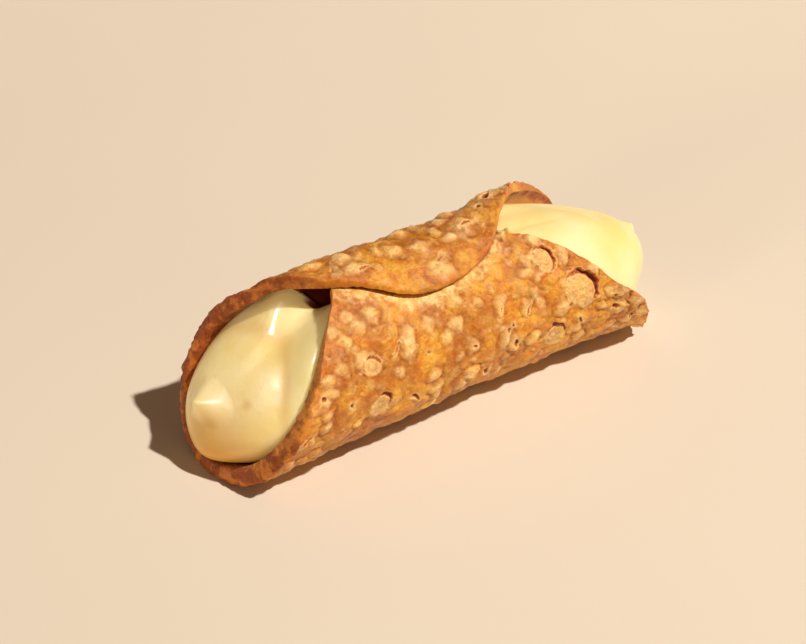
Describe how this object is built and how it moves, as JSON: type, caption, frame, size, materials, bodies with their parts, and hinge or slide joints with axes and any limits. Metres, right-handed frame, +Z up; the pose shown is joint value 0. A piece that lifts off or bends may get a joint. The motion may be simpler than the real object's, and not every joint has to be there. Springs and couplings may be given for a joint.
{
  "type": "cannoli",
  "caption": "Fried pastry tube rolled from one disc of dough with a lapped edge on top, filled end to end with thick pale cream.",
  "frame": {"origin": "middle of the base of the part's box, on the surface it lies on", "axes": "+Z up, +X along the roll towards the end whose cream stands out furthest, the lap's edge on top faces -Y"},
  "size_m": [0.1224, 0.045, 0.0428],
  "materials": {
    "crust": "fried dough, golden with redder rims, blistered, faint oily sheen",
    "cream": "smooth thick cream, pale yellow, soft gloss"
  },
  "bodies": {
    "root": {"shell": "crust", "cream": "cream"}
  },
  "joints": []
}
